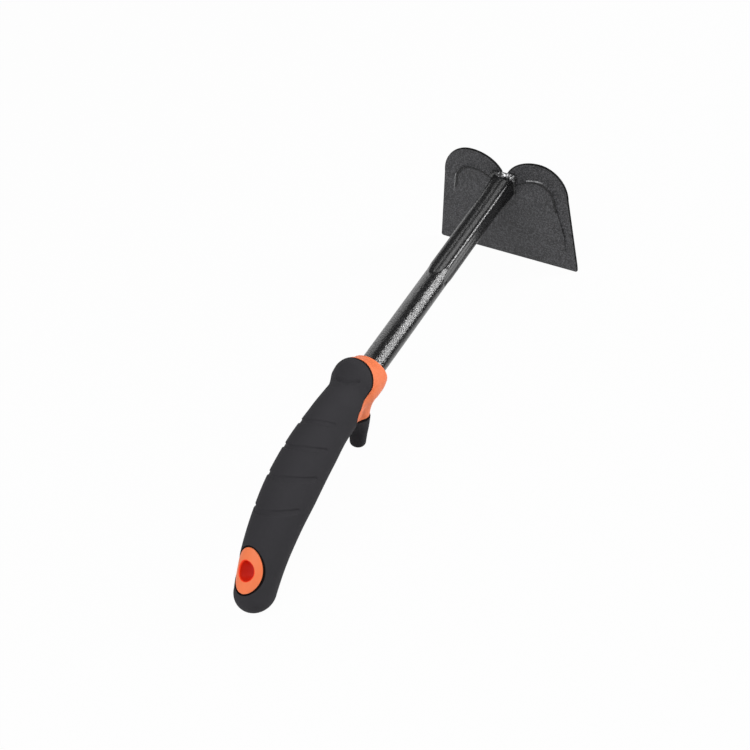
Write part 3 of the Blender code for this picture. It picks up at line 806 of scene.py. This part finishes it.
BORDER_ROW, BORDER_COLUMN = window_border()
BORDER_TURN = np.arctan2(BORDER_COLUMN / WINDOW_COLUMNS, 2 * BORDER_ROW / WINDOW_ROWS - 1)


def border_place(side):
    """Distance and angle of the border's points, on the top for side 1 and below for side -1."""
    tilt = BORDER_COLUMN * 2 * math.pi / GRIP_AROUND
    return WINDOW_STOPS[BORDER_ROW], tilt if side > 0 else BOTTOM - tilt


def oval_place(oval, grown, side):
    """Where a column, an oval of some length and width grown all round, meets the body's outside:
    the angle from across = b sin(angle), and the distance corrected by what it misses along the
    column, over and over."""
    half_length, half_width = oval / 2 + grown
    eye_s = GRIP_LENGTH - EYE_BEFORE_END
    x, z, turn = grip_line(eye_s)
    along, across = half_length * np.cos(BORDER_TURN), EYE_SHIFT + half_width * np.sin(BORDER_TURN)
    s = eye_s + along
    for _ in range(CORRECTIONS):
        tilt = np.arcsin(np.clip(across / grip_point(s, math.pi / 2)[..., 1], -1, 1))
        angle = tilt if side > 0 else BOTTOM - tilt
        ahead, _, above = np.moveaxis(grip_point(s, angle), -1, 0)
        s = s + along - ((ahead - x) * math.cos(turn) - (above - z) * math.sin(turn))
    return s, angle


def oval_ring(oval, grown, side, inset):
    """The column's oval on the body, drawn in by inset."""
    return grip_point(*oval_place(oval, grown, side), inset)


def border_to_oval(oval, grown, side, inset, count):
    """Rings from a window's border to an oval, mixed as distances and angles, so that they stay on
    the body."""
    border, hole = border_place(side), oval_place(oval, grown, side)
    t = np.linspace(0, 1, count)[:, None]
    return list(grip_point(mix(border[0], hole[0], t), mix(border[1], hole[1], t), inset))


def outside_windows(stops):
    """True for the grid cells, rows by columns, that belong to no window."""
    middle = (stops[1:] + stops[:-1]) / 2
    in_rows = (middle > WINDOW_START) & (middle < WINDOW_END)
    column = np.arange(GRIP_AROUND)
    from_top = np.minimum(column, GRIP_AROUND - 1 - column)
    in_columns = (from_top < WINDOW_COLUMNS) | (from_top >= GRIP_AROUND // 2 - WINDOW_COLUMNS)
    return ~(in_rows[:, None] & in_columns[None, :])


print("window border", len(BORDER_ROW), "points")

# %% [markdown]
# ## The finger guard
# A short horn hangs under the grip so that a finger can push against it. A horn just stuck into
# the body would show a hard line there, and the moulded one flows out of it. So a Hermite curve
# leaves the body along its own surface and arrives on the horn going down, and doing this for
# every direction at once gives a smooth fillet all round.

# %% Guard surface
# Rows: how far behind the grip's front, depth, half thickness along the tool, half width
GUARD_SECTIONS = np.array([
    (31.5, 29.3, 26.3, 26.8, 29.2, 31.6),
    (6.0, 16.0, 24.0, 32.0, 40.0, 46.0),
    (15.5, 13.5, 9.3, 6.8, 5.6, 5.2),
    (10.5, 10.2, 9.8, 8.4, 7.0, 6.4),
]) * MM
GUARD_FREE = 27.0 * MM
GUARD_END = GUARD_SECTIONS[1, -1]
GUARD_TIP = 3.0 * MM
GUARD_BLUNTNESS = 2.6
ROOT_MIDDLE = 27.0 * MM
ROOT_HALF_LENGTH = 17.0 * MM
ROOT_HALF_SPREAD = math.radians(65)
ROOT_SLOPE_SHARE = 0.9
HORN_SLOPE_STEP = 0.5 * MM
GUARD_TURNS = circle(96)
GUARD_SEARCH = np.linspace(0, 1.6, 800)


def guard_horn(depth, turn, inset):
    """Ovals at each depth. Past the horn's end they shrink, slowly at first, for a blunt tip."""
    over = np.clip((depth - GUARD_END) / (GUARD_TIP - inset), 0, 1)
    depth_in = np.minimum(depth, GUARD_END)
    middle, thick, wide = (smooth_curve(GUARD_SECTIONS[1], GUARD_SECTIONS[row], depth_in)
                           for row in (0, 2, 3))
    shrink = np.sqrt(1 - over ** GUARD_BLUNTNESS)
    run, fall = GUARD_SECTIONS[:2, -1] - GUARD_SECTIONS[:2, -2]
    x = (GRIP_FRONT + middle + run / fall * (depth - depth_in)
         + (thick - inset) * shrink * np.cos(turn))
    return np.stack([x, (wide - inset) * shrink * np.sin(turn), -depth + 0 * turn], -1)


def root_oval(turn, inset, share=1.0):
    """The oval on the body's underside that the guard grows from."""
    return grip_point(ROOT_MIDDLE + share * ROOT_HALF_LENGTH * np.cos(turn),
                      BOTTOM - share * ROOT_HALF_SPREAD * np.sin(turn), inset)


def guard_point(v, turn, inset):
    """v from 0 to 1 is the Hermite fillet, 1 to 2 the horn, 2 to 3 its tip."""
    v, turn, inset = np.broadcast_arrays(v, turn, inset)
    start, end = root_oval(turn, inset), guard_horn(GUARD_FREE + 0 * v, turn, inset)
    chord = np.linalg.norm(end - start, axis=-1)[..., None]
    leave = root_oval(turn, inset, ROOT_SLOPE_SHARE) - start
    arrive = guard_horn(GUARD_FREE + HORN_SLOPE_STEP + 0 * v, turn, inset) - end
    leave, arrive = (chord * d / np.linalg.norm(d, axis=-1)[..., None] for d in (leave, arrive))
    fillet = hermite(start, leave, end, arrive, np.clip(v, 0, 1)[..., None])
    tip = (GUARD_TIP - inset) * np.sin(np.clip(v - 2, 0, 1) * math.pi / 2)
    horn = guard_horn(mix(GUARD_FREE, GUARD_END, np.clip(v - 1, 0, 1)) + tip, turn, inset)
    return np.where((v < 1)[..., None], fillet, horn)


def guard_ring(v, inset=0.0):
    """The guard's point at v in every direction of its grid."""
    return guard_point(v, GUARD_TURNS, inset)


def guard_edge():
    """v at which each direction leaves the orange zone: the first of many steps that is outside."""
    outside = inside_zone(guard_ring(GUARD_SEARCH[:, None])) < 0
    return GUARD_SEARCH[outside.argmax(0)]


GUARD_EDGE = guard_edge()
GUARD_STEP = 0.02
# How much of v a metre across the guard's edge takes up
GUARD_REACH = GUARD_STEP / np.linalg.norm(
    guard_ring(GUARD_EDGE + GUARD_STEP) - guard_ring(GUARD_EDGE), axis=-1)
print("guard's cover starts at", GUARD_EDGE.min().round(2), "to", GUARD_EDGE.max().round(2))

# %% [markdown]
# ## The hard core
# This is the first shot of the moulding: a collar round the tube, the guard's root and the eye
# show, and the rest is under the cover. The body's rows start at the end of the tube's bore, come
# forward, turn over the front face, run back along the collar, step down under the cover's edge
# and go on to the butt. One run of rows leaves no seam on the collar. A band for each side of the
# eye rises to the surface, crosses it, rolls into the slot and runs through to the other side.

# %% Hard core, body and eye
COVER_THICKNESS = 3.0 * MM
COLLAR_INSET = 0.8 * MM
FRONT_ROUND = 0.8 * MM
SEAM = 1.0 * MM
EYE_INSET = 0.3 * MM
EYE_ROUND = 0.5 * MM
SLOT_ROUND = 0.9 * MM
CORE_LIP = 0.3 * MM
BORE_END = 96.2 * MM
MOUTH_WIDTH = 0.6 * MM
MOUTH_DEPTH = 2.0 * MM
SLOT_RINGS = 6


def bore_row(s, radius):
    """A circle round the tube's axis, s behind the grip's front."""
    across, up = radius * np.sin(ANGLES), radius * np.cos(ANGLES)
    return np.stack([0 * ANGLES + GRIP_FRONT + s, across, up], -1)


def core_body():
    """Rows of the core and the distance of each, from the bore's end to the butt's pole."""
    bore = TUBE_RADIUS + FIT / 2
    mouth = COLLAR_INSET + MOUTH_DEPTH
    rows = [bore_row(BORE_END, 0.0), bore_row(BORE_END, bore), bore_row(mouth, bore),
            bore_row(mouth, bore + MOUTH_WIDTH), bore_row(COLLAR_INSET, bore + MOUTH_WIDTH)]
    front = grip_ring(COLLAR_INSET, COLLAR_INSET + FRONT_ROUND)
    rows += [mix(rows[-1], front, t) for t in (0.5, 1.0)]
    rows += rolled(grip_ring, COLLAR_INSET, 1.0, COLLAR_INSET, FRONT_ROUND)[1:]
    first, last = COLLAR_INSET + FRONT_ROUND, EDGE - SEAM * EDGE_REACH
    before = last - CORE_LIP * EDGE_REACH
    rows += [grip_ring(mix(first, before, t), COLLAR_INSET) for t in np.linspace(0, 1, 37)[1:]]
    rows += rolled(grip_ring, last, -EDGE_REACH, COLLAR_INSET, CORE_LIP)[-2::-1]
    rows += [grip_ring(mix(last, FLOW_END, t), COVER_THICKNESS) for t in (0.0, 0.3, 0.6)]
    stops = np.concatenate([np.linspace(FLOW_END, WINDOW_START, 15)[:-1], WINDOW_STOPS,
                            np.linspace(WINDOW_END, GRIP_LENGTH + BUTT_ARC, 9)[1:]])
    grid = np.concatenate([np.stack(rows), grip_ring(stops[:, None], COVER_THICKNESS)])
    return grid, np.concatenate([np.zeros(len(rows)), stops])


def eye_half(side):
    """Rings from the window's border up the eye's wall, over its face and into the slot."""
    rings = border_to_oval(EYE, 0.0, side, COVER_THICKNESS, 6)
    rings += [oval_ring(EYE, -run, side, EYE_INSET + drop) for run, drop in round_off(EYE_ROUND)]
    rings += [oval_ring(mix(EYE, SLOT, t), mix(-EYE_ROUND, SLOT_ROUND, t), side, EYE_INSET)
              for t in np.linspace(0, 1, 9)[1:]]
    rings += [oval_ring(SLOT, run, side, EYE_INSET + drop)
              for run, drop in round_off(SLOT_ROUND, SLOT_RINGS + 1)[-2::-1]]
    return rings


core_grid, core_stops = core_body()
upper, lower = (eye_half(side) for side in SIDES)
through = [mix(upper[-1], lower[-1], t) for t in np.linspace(0, 1, 12)[1:-1]]
eye_grid = np.stack(upper + through + lower[::-1])
# The slot's rows wear the redder copy, painted bounce light
slot_rows = np.arange(len(upper) - SLOT_RINGS, len(eye_grid) - len(lower) + SLOT_RINGS - 1)
core_skins = [skin(core_grid, keep=outside_windows(core_stops)), *in_two(eye_grid, slot_rows)]
print("core body", core_grid.shape[:2], "and eye", eye_grid.shape[:2], "rows by columns")

# %% Hard core, guard
GUARD_COVER = 2.0 * MM


def guard_core():
    """From a pole inside the body out over the root to the cover's edge, then the hidden horn."""
    v_edge = np.maximum(GUARD_EDGE - SEAM * GUARD_REACH, 0)
    rows = [root_oval(GUARD_TURNS, COVER_THICKNESS, share) for share in (0.0, 1.0)]
    before = np.maximum(v_edge - CORE_LIP * GUARD_REACH, 0)
    rows += [guard_ring(before * t, COLLAR_INSET) for t in np.linspace(0, 1, 33)]
    rows += rolled(guard_ring, v_edge, -GUARD_REACH, COLLAR_INSET, CORE_LIP)[-2::-1]
    rows += [guard_ring(mix(v_edge, 2.0, t), GUARD_COVER) for t in np.linspace(0, 1, 9)]
    rows += [guard_ring(v, GUARD_COVER) for v in np.linspace(2, 3, 6)[1:]]
    return np.stack(rows)


core_skins.append(skin(guard_core()))
add_piece("orange_core", core_skins, [orange, slot_orange_painted_bounce], ["grip_core"])

# %% [markdown]
# ## The soft cover
# The second shot is moulded over the first. It stands slightly proud of the orange and its edge is
# rounded. A flange of it lies at the bottom of the groove between them, so a fine dark line runs
# there; the flange, the lip and a narrow strip past it wear painted shade as well, a near-black
# copy of the rubber. Four shallow bands and a crease at the neck are pressed into its back for the
# palm. A bump in the material wouldn't notch the outline, so they are cut into the surface: each is
# a bowed capsule, every point within half its width of its middle line lies deeper, and both ends
# come out round.

# %% Bands across the cover
# Rows: middle, bow, width and depth in mm, then apex and both ends in degrees from the top. The
# first is the crease at the neck
BANDS = (
    (33.0, 29.0, 2.4, 0.95, 0.0, -25.0, 35.0),
    *((middle, 10.0, 3.4, 0.75, -20.0, -100.0, right)
      for middle, right in ((70.5, 46.0), (89.4, 56.0), (109.9, 66.0), (131.7, 60.0))),
)
BAND_WALL = 0.5 * MM
BAND_RADIUS = 19.0 * MM


def band_cut(s, angle):
    """Depth times a smooth step of half width less distance. A band's line bows forward by the bow
    times 1 - cos(angle from its apex), and arc length stands for angle past its ends."""
    turned = (angle + math.pi) % (2 * math.pi) - math.pi
    cut = 0 * (s + turned)
    for middle, bow, width, depth, apex, left, right in BANDS:
        bowed = s + bow * MM * (1 - np.cos(turned - math.radians(apex)))
        past = np.maximum(turned - math.radians(right), math.radians(left) - turned)
        off = np.hypot(bowed - middle * MM, np.maximum(past, 0) * BAND_RADIUS)
        cut = cut + depth * MM * smooth_step((width / 2 * MM - off) / BAND_WALL + 0.5)
    return cut


print(len(BANDS), "bands, the deepest", max(band[3] for band in BANDS), "mm")

# %% Cover body
LIP_ROUND = 0.5 * MM
# How far past the lip's round the groove's painted shade reaches onto the cover's face
LIP_PAINTED_SHADE = 0.8 * MM
WALL_INSET = COVER_THICKNESS - FIT
FLANGE_INSET = 1.2 * MM
FLANGE_REACH = SEAM - 0.1 * MM
WINDOW_RINGS = 17


def cover_ring(s, inset=0.0):
    """The body's section at s, drawn in by inset and by what a band cuts there."""
    return grip_ring(s, inset + band_cut(s, ANGLES))


def cover_body():
    """Rows from the inner pole forward to the edge, over the lip and back to the outer pole."""
    inner_stops = np.concatenate([np.linspace(GRIP_LENGTH + BUTT_ARC, WINDOW_END, 9)[:-1],
                                  WINDOW_STOPS[::-1], np.linspace(WINDOW_START, FLOW_END, 15)[1:]])
    inner = list(grip_ring(inner_stops[:, None], WALL_INSET))
    tongue = EDGE - FLANGE_REACH * EDGE_REACH
    inner += [grip_ring(mix(FLOW_END, tongue, t), WALL_INSET) for t in (0.4, 0.7, 1.0)]
    start = EDGE + (LIP_ROUND + LIP_PAINTED_SHADE) * EDGE_REACH
    lip = [grip_ring(place, FLANGE_INSET) for place in (tongue, EDGE)]
    lip += [*rolled(cover_ring, EDGE, EDGE_REACH, 0.0, LIP_ROUND), cover_ring(start)]
    shade_rows = np.arange(len(inner) - 1, len(inner) + len(lip) - 1)
    flow = [cover_ring(mix(start, FLOW_END, t)) for t in np.linspace(0, 1, 41)[1:-1]]
    stops = np.concatenate([np.linspace(FLOW_END, WINDOW_START, 230)[:-1], WINDOW_STOPS,
                            np.linspace(WINDOW_END, GRIP_LENGTH + BUTT_ARC, 13)[1:]])
    grid = np.concatenate([np.stack(inner + lip + flow), cover_ring(stops[:, None])])
    middle = np.zeros(len(inner) - len(inner_stops) + len(lip) + len(flow))
    return grid, np.concatenate([inner_stops, middle, stops]), shade_rows


def cover_window(side):
    """Rings from the outer border to the oval, over its rounded lip, down its wall and out."""
    tongue = SEAM - FLANGE_REACH
    rings = border_to_oval(EYE, SEAM + LIP_ROUND, side, 0.0, WINDOW_RINGS)
    rings += [oval_ring(EYE, SEAM + run, side, drop) for run, drop in round_off(LIP_ROUND)[-2::-1]]
    rings += [oval_ring(EYE, grown, side, FLANGE_INSET) for grown in (SEAM, tongue)]
    shade_rows = np.arange(WINDOW_RINGS + 1, len(rings))
    rings += border_to_oval(EYE, tongue, side, WALL_INSET, 6)[::-1]
    return np.stack(rings), shade_rows


cover_grid, cover_stops, cover_shade_rows = cover_body()
# The rows along the edge's groove wear painted shade, the cover's second material
cover_skins = in_two(cover_grid, cover_shade_rows, outside_windows(cover_stops))
for side in SIDES:
    cover_skins += in_two(*cover_window(side))
print("cover body", cover_grid.shape[:2], "rows by columns")


# %% Cover of the guard
def guard_cover():
    """Rows from the inner pole back to the edge, over the lip and on to the tip."""
    wall = GUARD_COVER - FIT
    rows = [guard_ring(v, wall) for v in np.linspace(3, 2, 6)]
    tongue = np.maximum(GUARD_EDGE - FLANGE_REACH * GUARD_REACH, 0)
    rows += [guard_ring(mix(2.0, tongue, t), wall) for t in np.linspace(0, 1, 9)[1:]]
    inner = len(rows)
    rows += [guard_ring(place, FLANGE_INSET) for place in (tongue, GUARD_EDGE)]
    start = GUARD_EDGE + (LIP_ROUND + LIP_PAINTED_SHADE / 2) * GUARD_REACH
    rows += [*rolled(guard_ring, GUARD_EDGE, GUARD_REACH, 0.0, LIP_ROUND), guard_ring(start)]
    shade_rows = np.arange(inner - 1, len(rows) - 1)
    rows += [guard_ring(mix(start, 2.0, t)) for t in np.linspace(0, 1, 49)[1:]]
    rows += [guard_ring(v) for v in np.linspace(2, 3, 15)[1:]]
    return np.stack(rows), shade_rows


cover_skins += in_two(*guard_cover())
add_piece("soft_cover", cover_skins, [rubber, groove_painted_shade], ["grip_cover"])

# %% [markdown]
# ## The hidden plug
# The plug in the tube's far end never shows, and its packed shape is already right, so the packed
# node stays and only gets a finish.

# %% Plug finish
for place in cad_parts["tube_plug"].material_slots:
    place.material = plug_plastic
print("tube_plug keeps its shape")

# %% [markdown]
# ## Floor
# The photograph has a white ground and hardly a shadow. More light would bleach the tool as well,
# so the floor's colour is pale, and for rays from the camera or off gloss most of it is replaced
# by plain white. The share that is left keeps a faint shadow.

# %% White floor
FLOOR_SIZE = 6.0
FLOOR_WHITE_SHARE = 0.97

floor_sheet = Sheet("white_floor")
seen = floor_sheet.rays("Camera", "Glossy", "Transmission")
glow = floor_sheet.node("ShaderNodeEmission", {}, {"Color": (1, 1, 1, 1), "Strength": 1.0})
floor_sheet.finish(Base_Color=(0.60, 0.60, 0.60, 1), Roughness=0.9)
floor_sheet.surface(seen * FLOOR_WHITE_SHARE, floor_sheet.principled(), glow)


def stage_sheet(name, low, high, height, material):
    """A level rectangle between two corners that belongs to the studio, not to the tool."""
    mesh = bpy.data.meshes.new(name)
    (left, near), (right, far) = low, high
    corners = [(left, near), (right, near), (right, far), (left, far)]
    mesh.from_pydata([(*corner, height) for corner in corners], [], [(0, 1, 2, 3)])
    mesh.materials.append(material)
    made = bpy.data.objects.new(name, mesh)
    bpy.context.scene.collection.objects.link(made)


FLOOR_END = FLOOR_SIZE / 2
stage_sheet("floor", (-FLOOR_END, -FLOOR_END), (FLOOR_END, FLOOR_END), 0.0, floor_sheet.owner)
print("floor", FLOOR_SIZE, "m square")

# %% [markdown]
# ## Black card
# A photographer lays a black card beside a glossy thing, so that its side mirrors a dark line and
# its roundness shows. This one lies on the floor at the tool's right. Only rays off gloss see it:
# for all others it is transparent, so it neither shows nor dims the light.

# %% Black card, seen in reflections only
CARD_START = 103.0 * MM
CARD_HEIGHT = 1.0 * MM

card_sheet = Sheet("black_card")
clear = card_sheet.node("ShaderNodeBsdfTransparent", {}, {})
card_sheet.finish(Base_Color=(0.002, 0.002, 0.002, 1), Roughness=1.0, Specular_IOR_Level=0.0)
card_sheet.surface(card_sheet.rays("Glossy"), clear, card_sheet.principled())
stage_sheet("black_card", (-FLOOR_END, CARD_START), (FLOOR_END, FLOOR_END), CARD_HEIGHT,
            card_sheet.owner)
print("card from", round(CARD_START / MM), "mm to the tool's right")

# %% [markdown]
# ## Light and camera
# One long softbox stands behind and to the right, square to the tube: it draws the bright band
# along it. A dim panel at the back left greys the tube's left side. Two more boxes hang where the
# tube doesn't mirror them to the camera, so the paint stays black between the two bands. The
# camera's place and lens were fitted to the outlines in the photograph.

# %% World
AMBIENT = 0.12

world = bpy.context.scene.world or bpy.data.worlds.new("studio")
bpy.context.scene.world = world
world_sheet = Sheet(world)
background = world_sheet.tree.nodes["Background"]
strength = world_sheet.rays("Camera") * (1 - AMBIENT) + AMBIENT
world_sheet.plug(background.inputs["Color"], (1, 1, 1, 1))
world_sheet.plug(background.inputs["Strength"], strength)
print("ambient light", AMBIENT)

# %% Softboxes
LIGHT_TARGET = Vector((0.0, 0.0, 0.04))


def softbox(name, direction, distance, across, along, radiance):
    """A rectangle facing the tool, one side square to the tube. Its power is radiance times pi
    times its area."""
    lamp = bpy.data.lights.new(name, "AREA")
    lamp.shape = "RECTANGLE"
    lamp.size, lamp.size_y = across, along
    lamp.energy = radiance * math.pi * across * along
    made = bpy.data.objects.new(name, lamp)
    outward = Vector(direction).normalized()
    square = outward.cross(Vector((1, 0, 0))).normalized()
    made.rotation_euler = Matrix((square, outward.cross(square), outward)).transposed().to_euler()
    made.location = LIGHT_TARGET + outward * distance
    bpy.context.scene.collection.objects.link(made)
    print(name, "power", round(lamp.energy, 1), "W")


softbox("back_right_strip", (-0.60, 0.686, 0.412), 1.8, 1.50, 0.30, 18.5)
softbox("back_left_panel", (-0.615, -0.683, 0.395), 1.8, 1.7, 0.6, 1.8)
softbox("overhead_softbox", (0.45, 0.05, 0.89), 1.5, 1.3, 1.3, 1.4)
softbox("front_softbox", (0.75, 0.0, 0.65), 1.5, 1.3, 1.3, 2.3)

# %% Camera
CAMERA_PLACE = (0.7001, 0.3912, 0.66848)
CAMERA_AIM = (0.18248, -0.02417, -0.0526)
CAMERA_UP = (-0.68936, -0.29192, 0.663)
LENS = 61.318

place, aim = (to_row(np.array(point)) for point in (CAMERA_PLACE, CAMERA_AIM))
backward = (place - aim) / np.linalg.norm(place - aim)
sideways = np.cross(np.array(CAMERA_UP) @ TOOL_AXES, backward)
sideways /= np.linalg.norm(sideways)
turned = Matrix(np.stack([sideways, np.cross(backward, sideways), backward], 1).tolist())
camera_data = bpy.data.cameras.new("camera")
camera_data.lens = LENS
camera = bpy.data.objects.new("camera", camera_data)
camera.matrix_world = Matrix.Translation(place.tolist()) @ turned.to_4x4()
bpy.context.scene.collection.objects.link(camera)
bpy.context.scene.camera = camera
bpy.context.scene.view_settings.view_transform = "Standard"
print("camera at", [round(v, 3) for v in place])

# %% [markdown]
